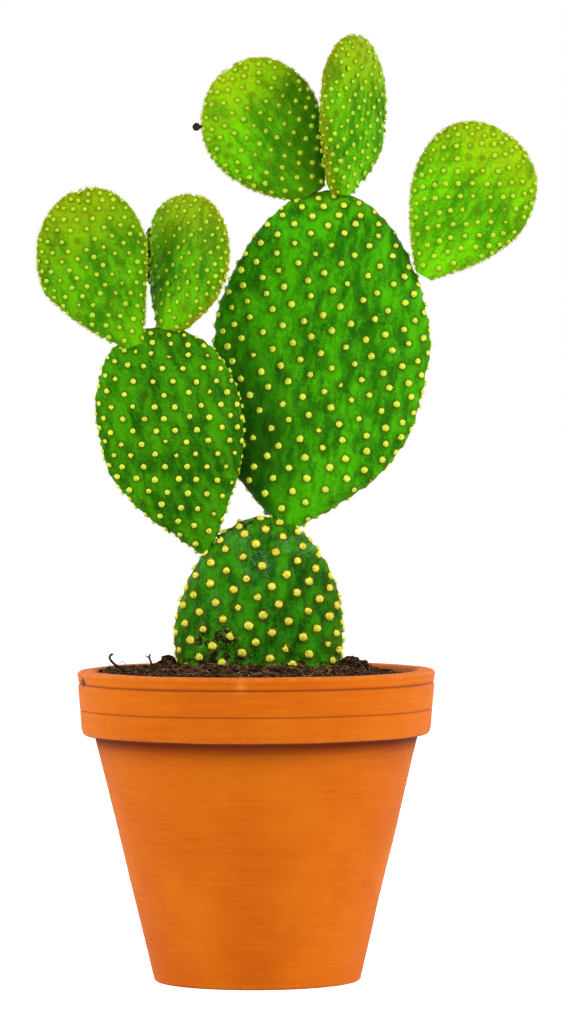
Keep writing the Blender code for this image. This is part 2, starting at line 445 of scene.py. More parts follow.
def old_scar(points):
    """How corky the base pad is: a split patch low on the front's left and crusts at its shoulder."""
    patches = (
        ((-0.0160, 0.1350), (0.0085, 0.0072)),
        ((-0.0130, 0.1275), (0.0120, 0.0026)),
        ((-0.0090, 0.1812), (0.0095, 0.0034)),
        ((-0.0250, 0.1255), (0.0100, 0.0026)),
        ((0.0220, 0.1250), (0.0140, 0.0026)),
    )
    scar = np.zeros(len(points))
    for (x, z), (wide, tall) in patches:
        away = ((points[:, 0] - AXIS.x - x) / wide) ** 2 + ((points[:, 2] - z) / tall) ** 2
        scar = np.maximum(scar, np.exp(-away))
    return scar * np.where(points[:, 1] < 0, 1.0, 0.55)


def tuft_shape(seed, bristles):
    """One tuft, a unit wide: a round closed cushion edged with short closed bristles. Returns its mesh."""
    rng = random.Random(seed)
    bm = bmesh.new()
    bmesh.ops.create_uvsphere(bm, u_segments=9, v_segments=6, radius=0.97)
    for vert in bm.verts:
        vert.co *= rng.uniform(0.82, 1.08)
        vert.co.z *= 0.58
    for number in range(bristles):
        tilt = math.radians(rng.uniform(48, 92))
        turn = number * GOLDEN_TURN * TAU + rng.uniform(-0.3, 0.3)
        reach = rng.uniform(1.05, 1.40)
        spike = bmesh.ops.create_cone(
            bm, cap_ends=True, segments=3, radius1=0.22, radius2=0.0, depth=1.0
        )["verts"]
        place = (
            Matrix.Rotation(turn, 4, "Z") @ Matrix.Rotation(tilt, 4, "Y")
            @ Matrix.Diagonal((1, 1, reach, 1)) @ Matrix.Translation((0, 0, 0.5))
        )
        bmesh.ops.transform(bm, matrix=place, verts=spike)
    bmesh.ops.remove_doubles(bm, verts=bm.verts, dist=0.001)
    bmesh.ops.recalc_face_normals(bm, faces=bm.faces)
    mesh = finish_mesh("tuft_shape", bm)
    points = coordinates(mesh)
    side = np.hypot(points[:, 0], points[:, 1])
    # Paler the higher and further out a point stands: partly the hairs' own pale tips, partly a painted
    # highlight on top of the tuft
    store(mesh, "tip", np.clip(points[:, 2] / 0.30 + 0.4, 0, 1) * np.clip(0.42 + 0.55 * side, 0, 1))
    return mesh


def tufts(name, pad, spots, shapes, material):
    """All the tufts of one pad as one mesh."""
    rng = random.Random(pad.seed + 5)
    place = placing(pad)
    bm = bmesh.new()
    for point, normal, share, edge in spots:
        hair = rng.choice(shapes).copy()
        size = pad.tuft_radius * rng.uniform(0.88, 1.12) * (1 - 0.15 * share) * (1 - 0.22 * edge)
        lean = Vector([rng.uniform(-0.12, 0.12) for _ in range(3)])
        facing = (normal + lean).normalized().to_track_quat("Z", "Y").to_matrix().to_4x4()
        spin = Matrix.Rotation(rng.uniform(0, TAU), 4, "Z")
        reach = Matrix.Diagonal((1, 1, rng.uniform(0.85, 1.2) * (1 + 0.35 * edge), 1))
        seat = point + normal * (pad.nub * 0.7)
        hair.transform(
            place @ Matrix.Translation(seat) @ facing @ spin @ Matrix.Scale(size, 4) @ reach
        )
        store(hair, "tone", np.full(len(hair.vertices), rng.random()))
        bm.from_mesh(hair)
        bpy.data.meshes.remove(hair)
    return show(name + "_tufts", finish_mesh(name + "_tufts", bm), material)


def fringe(name, pad, material):
    """The fine pale hairs that stand out all along a young ear's edge, as one mesh."""
    rng = random.Random(pad.seed + 9)
    bm = bmesh.new()
    bmesh.ops.create_cone(bm, cap_ends=True, segments=3, radius1=FRINGE_RADIUS, radius2=0.0, depth=1.0)
    bmesh.ops.translate(bm, vec=(0, 0, 0.5), verts=bm.verts)
    hair = finish_mesh("hair_shape", bm)
    place = placing(pad)
    bm = bmesh.new()
    for _ in range(FRINGE_HAIRS):
        share = (1 - math.cos(math.pi * rng.uniform(0.22, 0.995))) / 2
        turn = rng.choice((0.0, 0.5)) + rng.gauss(0, 0.022)
        here, normal = skin_place(pad, share, turn)
        lean = Vector([rng.uniform(-0.45, 0.45) for _ in range(3)])
        facing = (normal + lean).normalized().to_track_quat("Z", "Y")
        length = rng.uniform(*FRINGE_LENGTHS) * MM
        thread = hair.copy()
        thread.transform(
            place @ Matrix.Translation(here) @ facing.to_matrix().to_4x4()
            @ Matrix.Diagonal((1, 1, length, 1))
        )
        store(thread, "tip", np.full(len(thread.vertices), rng.uniform(0.2, 1.0)))
        store(thread, "tone", np.full(len(thread.vertices), rng.random()))
        bm.from_mesh(thread)
        bpy.data.meshes.remove(thread)
    bpy.data.meshes.remove(hair)
    return show(name + "_fringe", finish_mesh(name + "_fringe", bm), material)


def growing(name, pad):
    """The pad's tuft spots that are in the open: not in its parent, its children or the soil."""
    spots = tuft_spots(pad)
    world = moved(np.array([tuple(s[0]) for s in spots]), placing(pad))
    hidden = world[:, 2] < SOIL_CROWN_Z - 0.004
    neighbours = [other for other, spec in PADS.items() if spec.parent == name]
    if pad.parent:
        neighbours.append(pad.parent)
    for other in neighbours:
        hidden |= buried(PADS[other], world, 0.0004)
    return [spot for spot, gone in zip(spots, hidden) if not gone]


# ---------------------------------------------------------------- the pot


def arc(centre, radius, start, end, steps):
    """Points on an arc in the section plane, in degrees from the outward direction."""
    angles = [math.radians(start + (end - start) * i / steps) for i in range(steps + 1)]
    return [(centre[0] + radius * math.cos(a), centre[1] + radius * math.sin(a)) for a in angles]


def straight(start, end, gap):
    """Points along a straight run, without its end."""
    count = max(1, round(math.dist(start, end) / gap))
    return [
        (start[0] + (end[0] - start[0]) * i / count, start[1] + (end[1] - start[1]) * i / count)
        for i in range(count)
    ]


def rim_radius(z):
    return RIM_FOOT_RADIUS + (RIM_RADIUS - RIM_FOOT_RADIUS) * (z - RIM_FOOT_Z) / (POT_HEIGHT - RIM_FOOT_Z)


def bore_radius(z):
    return FLOOR_RADIUS + (WALL_TOP_RADIUS - FLOOR_RADIUS) * (z - FLOOR_Z) / (POT_HEIGHT - FLOOR_Z)


def turned(outline, steps):
    """A section spun round the pot's axis, with its poles and seam closed."""
    bm = bmesh.new()
    verts = [bm.verts.new((radius, 0, z)) for radius, z in outline]
    edges = [bm.edges.new(pair) for pair in zip(verts, verts[1:])]
    bmesh.ops.spin(
        bm, geom=verts + edges, cent=(0, 0, 0), axis=(0, 0, 1), angle=TAU, steps=steps, use_merge=True
    )
    bmesh.ops.remove_doubles(bm, verts=bm.verts, dist=MERGE_GAP)
    return bm


def pot_profile():
    """The pot's section, up its outside, over the lip, down the bore and out of the drain hole."""
    outline = straight((DRAIN_RADIUS, 0), (FOOT_RADIUS - FOOT_ROUND, 0), 0.004)
    outline += arc((FOOT_RADIUS - FOOT_ROUND, FOOT_ROUND), FOOT_ROUND, -90, 8, 5)
    neck = (BODY_TOP_RADIUS, RIM_FOOT_Z - 0.0010)
    outline += straight(outline[-1], neck, 0.0022)[1:]
    outline += [neck, (BODY_TOP_RADIUS + 0.0005, RIM_FOOT_Z)]
    centre = (RIM_FOOT_RADIUS - RIM_ROUND, RIM_FOOT_Z + RIM_ROUND)
    outline += arc(centre, RIM_ROUND, -90, 0, 7)
    z = RIM_FOOT_Z + RIM_ROUND + 0.0006
    while z < POT_HEIGHT - LIP_ROUND - 0.0002:
        outline.append((rim_radius(z) - groove_depth(POT_HEIGHT - z), z))
        z += 0.00038
    outline += arc((RIM_RADIUS - LIP_ROUND, POT_HEIGHT - LIP_ROUND), LIP_ROUND, 0, 90, 7)
    outline += arc((WALL_TOP_RADIUS + LIP_ROUND, POT_HEIGHT - LIP_ROUND), LIP_ROUND, 90, 180, 7)
    outline += straight((bore_radius(POT_HEIGHT - 0.004), POT_HEIGHT - 0.004), (FLOOR_RADIUS, FLOOR_Z), 0.006)
    outline += straight((FLOOR_RADIUS, FLOOR_Z), (DRAIN_RADIUS, FLOOR_Z), 0.006)
    outline += [(DRAIN_RADIUS, FLOOR_Z), (DRAIN_RADIUS, FLOOR_Z / 2), (DRAIN_RADIUS, 0)]
    return outline


def groove_depth(drop):
    """How deep the turner's tool went at a drop below the lip: one step and one fine line."""
    step = STEP_DEPTH * math.exp(-(((drop - STEP_DROP) / STEP_WIDTH) ** 2))
    shoulder = SHOULDER_DEPTH * (1 / (1 + math.exp((drop - STEP_DROP) / SHOULDER_WIDTH))) - 0.10 * MM
    line = LINE_DEPTH * math.exp(-(((drop - LINE_DROP) / LINE_WIDTH) ** 2))
    return step + shoulder + line


def make_pot(material):
    bm = turned(pot_profile(), POT_STEPS)
    bmesh.ops.recalc_face_normals(bm, faces=bm.faces)
    mesh = finish_mesh("terracotta_pot_turned", bm)
    points = coordinates(mesh)
    normals = vertex_normals(mesh)
    reach = np.hypot(points[:, 0], points[:, 1])
    outside = reach > bore_radius(points[:, 2]) + 0.0012
    drop = POT_HEIGHT - points[:, 2]
    # Painted shade: a dark line in the turned step and a fainter one in the fine line
    groove_shade = np.exp(-(((drop - STEP_DROP) / 0.00042) ** 2))
    groove_shade = groove_shade + 0.8 * np.exp(-(((drop - LINE_DROP) / 0.00032) ** 2))
    store(mesh, "groove_shade", groove_shade * outside)
    # Painted shade: the body is darker for a short way below the rim's foot, where the rim shades it
    under = np.exp(-np.clip(RIM_FOOT_Z - points[:, 2] - 0.0022, 0, 1) / 0.0034)
    under = under * (points[:, 2] < RIM_FOOT_Z + 0.0006)
    store(mesh, "under", under * (reach < RIM_FOOT_RADIUS - 0.0008) * outside)
    # Paler at the lip, the rim's foot and the pot's foot: partly rubbed, partly a painted highlight on these
    # rounded edges
    corners = ((RIM_RADIUS, POT_HEIGHT), (RIM_FOOT_RADIUS, RIM_FOOT_Z), (FOOT_RADIUS, 0.0))
    rub_and_highlight = np.zeros(len(points))
    for radius, z in corners:
        rub_and_highlight = np.maximum(rub_and_highlight, np.exp(-((np.hypot(reach - radius, points[:, 2] - z) / 0.0011) ** 2)))
    store(mesh, "rub_and_highlight", rub_and_highlight)
    turn = np.degrees(np.arctan2(points[:, 0], -points[:, 1]))
    chip = np.exp(-(np.abs(turn + CHIP_TURN) / CHIP_WIDE) - (np.abs(drop - CHIP_DROP) / CHIP_TALL))
    store(mesh, "chip", chip * outside)
    smear = np.exp(-(((turn - SMEAR_TURN) / SMEAR_WIDE) ** 2) - ((drop - SMEAR_DROP) / SMEAR_TALL) ** 2)
    store(mesh, "smear", smear * outside)
    tall = np.stack([points[:, 0] * 0.15, points[:, 1] * 0.15, points[:, 2]], axis=1)
    lift = 0.035 * MM * ripples(tall, 0.0032, 5) + 0.09 * MM * ripples(points, 0.05, 6)
    lift -= CHIP_DEPTH * chip * outside
    lift *= np.clip(points[:, 2] / 0.003, 0, 1)
    set_coordinates(mesh, points + normals * lift[:, None] + np.array(AXIS))
    return show("terracotta_pot_turned", mesh, material, ("terracotta_pot",))


# ---------------------------------------------------------------- soil


def soil_height(x, y):
    """The soil's surface at a place measured from the pot's axis."""
    reach = bore_radius(SOIL_EDGE_Z)
    rise = max(0.0, 1 - (x * x + y * y) / reach**2)
    lump = noise.noise(Vector((x, y, 0.3)) * 60) * 1.3 + noise.noise(Vector((x, y, 0.9)) * 190) * 1.1
    lump += noise.noise(Vector((x, y, 2.1)) * 520) * 0.8
    height = SOIL_EDGE_Z + (SOIL_CROWN_Z - SOIL_EDGE_Z) * rise + lump * MM - 0.018 * x + 0.0006
    for px, py, spread, tall in SOIL_PILES:
        height += tall * math.exp(-((x - px) ** 2 + (y - py) ** 2) / spread**2)
    return height


def make_soil(material):
    floor = FLOOR_Z + JOINT_GAP
    top = SOIL_EDGE_Z
    outline = [(0.0, floor), (bore_radius(floor) - JOINT_GAP, floor), (bore_radius(top) - JOINT_GAP, top)]
    reach = outline[-1][0]
    outline += [(reach * (1 - i / SOIL_RINGS), top) for i in range(1, SOIL_RINGS + 1)]
    bm = turned(outline, SOIL_STEPS)
    for vert in bm.verts:
        if vert.co.z > top - 0.0001:
            vert.co.z = soil_height(vert.co.x, vert.co.y)
    bmesh.ops.translate(bm, vec=AXIS, verts=bm.verts)
    bmesh.ops.recalc_face_normals(bm, faces=bm.faces)
    mesh = finish_mesh("potting_soil_surface", bm)
    return show("potting_soil_surface", mesh, material, ("potting_soil",))


def crumb_shape(seed):
    """One uneven crumb, a unit in radius."""
    rng = random.Random(seed)
    bm = bmesh.new()
    bmesh.ops.create_icosphere(bm, subdivisions=1, radius=1)
    for vert in bm.verts:
        vert.co *= rng.uniform(0.65, 1.25)
    return finish_mesh("crumb_shape", bm, smooth=False)


def make_crumbs(material):
    """Loose crumbs of soil on the surface, thickest on the two piles beside the base pad."""
    rng = random.Random(404)
    shapes = [crumb_shape(seed) for seed in range(CRUMB_SHAPES)]
    bm = bmesh.new()
    reach = bore_radius(SOIL_EDGE_Z) - 0.001
    for number in range(CRUMBS):
        if number % 4:
            radius = reach * math.sqrt(rng.random())
            turn = rng.uniform(0, TAU)
            x, y = radius * math.cos(turn), radius * math.sin(turn)
        else:
            px, py, spread, _ = rng.choice(SOIL_PILES[:2])
            x, y = rng.gauss(px, spread * 0.7), rng.gauss(py, spread * 1.6)
        if math.hypot(x, y) > reach:
            continue
        size = rng.choice(CRUMB_SIZES) * rng.uniform(0.7, 1.2)
        crumb = rng.choice(shapes).copy()
        flat = Matrix.Diagonal((rng.uniform(0.7, 1.5), rng.uniform(0.7, 1.3), rng.uniform(0.5, 0.9), 1))
        spin = Matrix.Rotation(rng.uniform(0, TAU), 4, "Z")
        seat = Matrix.Translation(AXIS + Vector((x, y, soil_height(x, y) + size * 0.25)))
        crumb.transform(seat @ spin @ flat @ Matrix.Scale(size, 4))
        bm.from_mesh(crumb)
        bpy.data.meshes.remove(crumb)
    for shape in shapes:
        bpy.data.meshes.remove(shape)
    mesh = finish_mesh("soil_crumbs", bm, smooth=False)
    return show("soil_crumbs", mesh, material)


def strand(curve, points, radius, taper=0.4):
    """Adds one thread of a curve through points, thinner to its end."""
    spline = curve.splines.new("POLY")
    spline.points.add(len(points) - 1)
    for number, (spot, point) in enumerate(zip(spline.points, points)):
        spot.co = (*point, 1)
        spot.radius = radius * (1 - (1 - taper) * number / (len(points) - 1))


def curve_mesh(name, curve, thickness):
    """A bevelled curve made a mesh."""
    curve.dimensions = "3D"
    curve.bevel_depth = thickness
    curve.bevel_resolution = 1
    curve.use_fill_caps = True
    holder = bpy.data.objects.new(name, curve)
    mesh = bpy.data.meshes.new_from_object(holder)
    mesh.name = name
    bpy.data.objects.remove(holder)
    bpy.data.curves.remove(curve)
    mesh.shade_smooth()
    return mesh


def make_fibres(material):
    """Coir fibres lying in and over the soil."""
    rng = random.Random(77)
    curve = bpy.data.curves.new("soil_fibres", "CURVE")
    for _ in range(FIBRES):
        turn, out = rng.uniform(0, TAU), (bore_radius(SOIL_EDGE_Z) - 0.002) * math.sqrt(rng.random())
        x, y = out * math.cos(turn), out * math.sin(turn)
        heading, bend = rng.uniform(0, TAU), rng.uniform(-0.5, 0.5)
        arch = rng.uniform(0.0002, 0.0022)
        count = rng.randint(7, 12)
        points = []
        for step in range(count):
            if math.hypot(x, y) > bore_radius(SOIL_EDGE_Z) - 0.0008:
                break
            hump = arch * math.sin(math.pi * step / (count - 1))
            points.append(AXIS + Vector((x, y, soil_height(x, y) + hump)))
            heading += bend * rng.uniform(0.3, 1.2)
            x += FIBRE_STEP * math.cos(heading)
            y += FIBRE_STEP * math.sin(heading)
        if len(points) > 3:
            strand(curve, points, rng.uniform(0.5, 1.3))
    return show("soil_fibres", curve_mesh("soil_fibres", curve, FIBRE_THICKNESS), material)


def make_twigs(material):
    """Two dead twigs that stand out of the soil at the left."""
    curve = bpy.data.curves.new("soil_twigs", "CURVE")
    hooked = (
        (-0.0500, -0.0180, 0.1215), (-0.0520, -0.0180, 0.1238), (-0.0540, -0.0180, 0.1252),
        (-0.0555, -0.0180, 0.1262), (-0.0568, -0.0178, 0.1275), (-0.0575, -0.0176, 0.1288),
        (-0.0570, -0.0174, 0.1298), (-0.0561, -0.0173, 0.1302),
    )
    upright = (
        (-0.0405, -0.0060, 0.1235), (-0.0412, -0.0062, 0.1258), (-0.0418, -0.0064, 0.1272),
        (-0.0421, -0.0064, 0.1285), (-0.0417, -0.0064, 0.1297),
    )
    snag = ((-0.0421, -0.0064, 0.1280), (-0.0430, -0.0066, 0.1287), (-0.0436, -0.0066, 0.1290))
    strand(curve, [AXIS + Vector(p) for p in hooked], 1.0, 0.75)
    strand(curve, [AXIS + Vector(p) for p in upright], 0.8, 0.6)
    strand(curve, [AXIS + Vector(p) for p in snag], 0.55, 0.5)
    return show("soil_twigs", curve_mesh("soil_twigs", curve, TWIG_THICKNESS), material)


def make_bud(material):
    """The dried bud on the top left ear: a shrivelled knob on a short stalk."""
    low, high = (Vector(corner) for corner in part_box("dried_bud"))
    middle = (low + high) / 2
    radius = (high.z - low.z) / 2
    bm = bmesh.new()
    bmesh.ops.create_icosphere(bm, subdivisions=4, radius=1)
    for vert in bm.verts:
        crumple = noise.noise(vert.co * 2.1) * 0.28 + noise.noise(vert.co * 5.3) * 0.14
        vert.co *= 1.05 + crumple
    knob = Vector((low.x + radius, middle.y, middle.z))
    bmesh.ops.transform(bm, matrix=Matrix.Translation(knob) @ Matrix.Scale(radius, 4), verts=bm.verts)
    stalk = bmesh.ops.create_cone(
        bm, cap_ends=True, segments=12, radius1=radius * 0.62, radius2=radius * 0.38,
        depth=high.x - knob.x + 0.0008,
    )["verts"]
    seat = Vector(((high.x + knob.x) / 2, middle.y, middle.z))
    lying = Matrix.Translation(seat) @ Matrix.Rotation(math.pi / 2, 4, "Y")
    bmesh.ops.transform(bm, matrix=lying, verts=stalk)
    mesh = finish_mesh("dried_bud_knob", bm)
    return show("dried_bud_knob", mesh, material, ("dried_bud",))


# ---------------------------------------------------------------- finishes


class Shader:
    """A short way to add and join the nodes of one tree."""

    def __init__(self, tree):
        self.tree = tree

    def fill(self, socket, value):
        """Links a socket, or sets its own value."""
        if isinstance(value, bpy.types.NodeSocket):
            self.tree.links.new(value, socket)
        else:
            socket.default_value = value

    def add(self, kind, inputs=None, **settings):
        node = self.tree.nodes.new(kind)
        for key, value in settings.items():
            setattr(node, key, value)
        for key, value in (inputs or {}).items():
            self.fill(node.inputs[key], value)
        return node

    def mix(self, factor, first, second):
        """Mixes two colours; each may be a colour or a socket."""
        node = self.add("ShaderNodeMix", data_type="RGBA")
        self.fill(node.inputs[0], factor)
        for index, value in ((6, first), (7, second)):
            plain = not isinstance(value, bpy.types.NodeSocket)
            self.fill(node.inputs[index], (*value, 1) if plain else value)
        return node.outputs[2]

    def tint(self, colour, mask, amount, other):
        """A colour moved some of the way to another where a mask is."""
        return self.mix(self.math("MULTIPLY", mask, amount), colour, other)

    def math(self, operation, first, second):
        node = self.add("ShaderNodeMath", operation=operation)
        self.fill(node.inputs[0], first)
        self.fill(node.inputs[1], second)
        return node.outputs[0]

    def ramp(self, value, low, high):
        """0 below low, 1 above high and smooth between."""
        node = self.add("ShaderNodeMapRange", {"Value": value, "From Min": low, "From Max": high})
        node.interpolation_type = "SMOOTHSTEP"
        return node.outputs[0]

    def attribute(self, name, output="Fac"):
        return self.add("ShaderNodeAttribute", attribute_name=name).outputs[output]


def new_material(name, roughness, specular=0.5):
    material = bpy.data.materials.new(name)
    material.use_nodes = True
    shader = Shader(material.node_tree)
    principled = material.node_tree.nodes["Principled BSDF"]
    principled.inputs["Roughness"].default_value = roughness
    principled.inputs["Specular IOR Level"].default_value = specular
    return material, shader, principled


def new_group(name, inputs, outputs):
    """An empty node group with named sockets; inputs map a name to a kind and a first value."""
    group = bpy.data.node_groups.new(name, "ShaderNodeTree")
    for label, (kind, value) in inputs.items():
        socket = group.interface.new_socket(label, in_out="INPUT", socket_type="NodeSocket" + kind)
        if value is not None:
            socket.default_value = value
    for label, kind in outputs.items():
        group.interface.new_socket(label, in_out="OUTPUT", socket_type="NodeSocket" + kind)
    shader = Shader(group)
    source = shader.add("NodeGroupInput")
    sink = shader.add("NodeGroupOutput")
    return group, shader, source, sink


def mottle_group():
    """A soft-edged patchy mask."""
    group, shader, source, sink = new_group(
        "patchy_mask",
        {
            "Vector": ("Vector", None), "Scale": ("Float", 100.0),
            "Low": ("Float", 0.4), "High": ("Float", 0.6),
        },
        {"Mask": "Float"},
    )
    patches = shader.add(
        "ShaderNodeTexNoise",
        {
            "Vector": source.outputs["Vector"], "Scale": source.outputs["Scale"],
            "Detail": 4.0, "Roughness": 0.6,
        },
    )
    mask = shader.ramp(patches.outputs["Fac"], source.outputs["Low"], source.outputs["High"])
    group.links.new(mask, sink.inputs["Mask"])
    return group


def grain_group():
    """Fine surface relief as a normal, from two sizes of grain."""
    group, shader, source, sink = new_group(
        "fine_relief",
        {
            "Vector": ("Vector", None), "Coarse": ("Float", 300.0), "Fine": ("Float", 1500.0),
            "Strength": ("Float", 0.3), "Depth": ("Float", 0.0003),
        },
        {"Normal": "Vector"},
    )
    place = source.outputs["Vector"]
    coarse = shader.add("ShaderNodeTexNoise", {"Vector": place, "Scale": source.outputs["Coarse"]})
    fine = shader.add("ShaderNodeTexNoise", {"Vector": place, "Scale": source.outputs["Fine"]})
    height = shader.math("ADD", coarse.outputs["Fac"], shader.math("MULTIPLY", fine.outputs["Fac"], 0.5))
    bump = shader.add(
        "ShaderNodeBump",
        {"Height": height, "Strength": source.outputs["Strength"], "Distance": source.outputs["Depth"]},
    )
    group.links.new(bump.outputs["Normal"], sink.inputs["Normal"])
    return group


def place_group(shader, group, inputs):
    node = shader.add("ShaderNodeGroup")
    node.node_tree = group
    for key, value in inputs.items():
        shader.fill(node.inputs[key], value)
    return node


def patches(shader, groups, place, scale, low, high):
    """The patchy mask at one scale, from 0 at the low level of its noise to 1 at the high one."""
    inputs = {"Vector": place, "Scale": scale, "Low": low, "High": high}
    return place_group(shader, groups["patchy"], inputs).outputs[0]


def add_relief(shader, groups, principled, place, coarse, fine, strength, depth):
    """Roughens a surface with the fine relief."""
    inputs = {"Vector": place, "Coarse": coarse, "Fine": fine, "Strength": strength, "Depth": depth}
    node = place_group(shader, groups["relief"], inputs)
    shader.tree.links.new(node.outputs["Normal"], principled.inputs["Normal"])


def skin_material(
    name, groups, dark, light, tip, tip_from, tuft_ring_shade, edge_tint=0.5, aged=False, fleck=(0.28, 0.18, 0.003)
):
    """Cactus skin: streaky greens, yellower to the tip and edge, with painted shade as a brown ring at each
    tuft, along the creases and beside the neighbours in front.
    """
    material, shader, principled = new_material(name, 0.50, 0.03)
    own = shader.attribute("own", "Vector")
    stretched = shader.add("ShaderNodeMapping", {"Vector": own, "Scale": (1.0, 1.0, 0.40)}).outputs[0]
    broad = patches(shader, groups, stretched, 95.0, 0.38, 0.62)
    streaks = patches(shader, groups, stretched, 290.0, 0.34, 0.66)
    fine = patches(shader, groups, own, 1500.0, 0.36, 0.64)
    mixed = shader.math("MULTIPLY", broad, 0.36)
    mixed = shader.math("ADD", mixed, shader.math("MULTIPLY", streaks, 0.40))
    mixed = shader.math("ADD", mixed, shader.math("MULTIPLY", fine, 0.24))
    mixed = shader.ramp(mixed, 0.06, 0.90)
    colour = shader.mix(mixed, dark, light)
    share = shader.attribute("share")
    colour = shader.tint(colour, shader.ramp(share, 0.26, 0.04), 0.22, light)
    edge = shader.attribute("edge")
    towards_tip = shader.ramp(share, tip_from, 1.05)
    edging = shader.math("MULTIPLY", shader.ramp(edge, 0.25, 0.9), edge_tint)
    yellow = shader.math("MAXIMUM", towards_tip, edging)
    yellow = shader.math("MULTIPLY", yellow, shader.ramp(mixed, -0.5, 0.8))
    colour = shader.mix(yellow, colour, tip)
    # Painted shade: darker along the creases between the tufts
    colour = shader.tint(colour, shader.attribute("crease"), 0.16, dark)
    # Painted shade: skin beside the neighbours in front is painted much darker
    colour = shader.tint(colour, shader.attribute("neighbour_shade_paint"), 0.97, [channel * 0.36 for channel in dark])
    # Painted shade: a dark ring round each tuft
    colour = shader.tint(colour, shader.attribute("tuft_ring_shade"), 0.78, tuft_ring_shade)
    rust = patches(shader, groups, own, 820.0, 0.50, 0.60)
    rusty = shader.math("MAXIMUM", shader.ramp(edge, 0.30, 0.85), shader.math("MULTIPLY", towards_tip, 0.7))
    rusty = shader.math("MULTIPLY", rust, shader.math("MULTIPLY", rusty, edge_tint))
    colour = shader.mix(rusty, colour, fleck)
    if aged:
        bloom = patches(shader, groups, own, 75.0, 0.52, 0.68)
        dusty = shader.math("MULTIPLY", bloom, shader.ramp(share, 0.45, 0.85))
        dusty = shader.math("MULTIPLY", dusty, patches(shader, groups, own, 900.0, 0.46, 0.58))
        colour = shader.tint(colour, dusty, 0.55, (0.11, 0.27, 0.10))
        cork = patches(shader, groups, own, 380.0, 0.42, 0.56)
        scar = shader.math("MULTIPLY", cork, shader.ramp(shader.attribute("scar"), 0.25, 0.62))
        colour = shader.mix(scar, colour, (0.020, 0.009, 0.003))
        flakes = patches(shader, groups, own, 1300.0, 0.60, 0.68)
        flaky = shader.math("MULTIPLY", flakes, shader.ramp(shader.attribute("scar"), 0.10, 0.40))
        colour = shader.mix(flaky, colour, (0.36, 0.28, 0.10))
    shader.tree.links.new(colour, principled.inputs["Base Color"])
    add_relief(shader, groups, principled, own, 700.0, 2600.0, 0.8, 0.0006)
    gloss = shader.add("ShaderNodeMapRange", {"Value": broad, "To Min": 0.40, "To Max": 0.60})
    shader.tree.links.new(gloss.outputs[0], principled.inputs["Roughness"])
    return material


def tuft_material(name, groups, root, body, tip, marked=0.0):
    """Dense hairs: brownish at the foot, yellow above and pale at the tips, with rusty marks on some; the
    paleness on top is partly their own and partly a painted highlight.
    """
    material, shader, principled = new_material(name, 0.80, 0.02)
    height = shader.attribute("tip")
    place = shader.add("ShaderNodeTexCoord").outputs["Object"]
    # Darker low down and paler on top: partly the hairs' own colour, partly a painted highlight
    colour = shader.mix(shader.ramp(height, 0.10, 0.42), root, body)
    colour = shader.mix(shader.ramp(height, 0.55, 0.95), colour, tip)
    colour = shader.tint(colour, patches(shader, groups, place, 2300.0, 0.60, 0.42), 0.34, root)
    colour = shader.tint(colour, shader.ramp(shader.attribute("tone"), 0.3, 1.0), 0.14, root)
    rust = patches(shader, groups, place, 900.0, 0.56, 0.64)
    colour = shader.tint(colour, rust, marked, (0.42, 0.17, 0.004))
    shader.tree.links.new(colour, principled.inputs["Base Color"])
    add_relief(shader, groups, principled, place, 2400.0, 5200.0, 0.55, 0.0006)
    return material


def terracotta_material(groups):
    """Fired clay: faint turning bands, pale specks, dark pits and the chip, with painted shade in the grooves
    and under the rim, and rounded edges paler, partly rubbed and partly a painted highlight.
    """
    material, shader, principled = new_material("terracotta", 0.66, 0.05)
    principled.inputs["Sheen Weight"].default_value = 0.04
    principled.inputs["Sheen Roughness"].default_value = 0.55
    place = shader.add("ShaderNodeTexCoord").outputs["Object"]
    broad = patches(shader, groups, place, 22.0, 0.35, 0.65)
    colour = shader.mix(broad, (0.555, 0.108, 0.0012), (0.620, 0.140, 0.0020))
    banded = shader.add("ShaderNodeMapping", {"Vector": place, "Scale": (0.05, 0.05, 1.0)}).outputs[0]
    colour = shader.tint(colour, patches(shader, groups, banded, 900.0, 0.4, 0.62), 0.18, (0.76, 0.19, 0.008))
    colour = shader.tint(colour, patches(shader, groups, place, 1400.0, 0.66, 0.74), 0.40, (0.84, 0.33, 0.05))
    pits = patches(shader, groups, place, 1100.0, 0.30, 0.24)
    colour = shader.tint(colour, pits, 0.45, (0.28, 0.040, 0.002))
    chalk = patches(shader, groups, place, 300.0, 0.42, 0.62)
    # Paler rounded edges: partly rubbed, partly a painted highlight
    rubbed_and_lit = shader.math("MULTIPLY", chalk, shader.attribute("rub_and_highlight"))
    colour = shader.tint(colour, rubbed_and_lit, 0.28, (0.88, 0.32, 0.05))
    colour = shader.tint(colour, shader.attribute("smear"), 0.35, (0.90, 0.38, 0.09))
    # Painted shade in the grooves
    colour = shader.tint(colour, shader.attribute("groove_shade"), 0.80, (0.17, 0.022, 0.0015))
    # Painted shade under the rim
    colour = shader.tint(colour, shader.attribute("under"), 0.94, (0.15, 0.015, 0.0010))
    colour = shader.mix(shader.ramp(shader.attribute("chip"), 0.30, 0.60), colour, (0.120, 0.016, 0.004))
    shader.tree.links.new(colour, principled.inputs["Base Color"])
    add_relief(shader, groups, principled, banded, 1200.0, 4200.0, 0.35, 0.0003)
    return material


def soil_material(name, groups, dark, light, bits_colour):
    """Lumpy brown matter with small pale bits."""
    material, shader, principled = new_material(name, 0.92, 0.08)
    place = shader.add("ShaderNodeTexCoord").outputs["Object"]
    colour = shader.mix(patches(shader, groups, place, 520.0, 0.42, 0.64), dark, light)
    colour = shader.tint(colour, patches(shader, groups, place, 1700.0, 0.62, 0.70), 0.7, bits_colour)
    shader.tree.links.new(colour, principled.inputs["Base Color"])
    add_relief(shader, groups, principled, place, 500.0, 2000.0, 1.0, 0.0012)
    return material


# ---------------------------------------------------------------- stage, light and camera


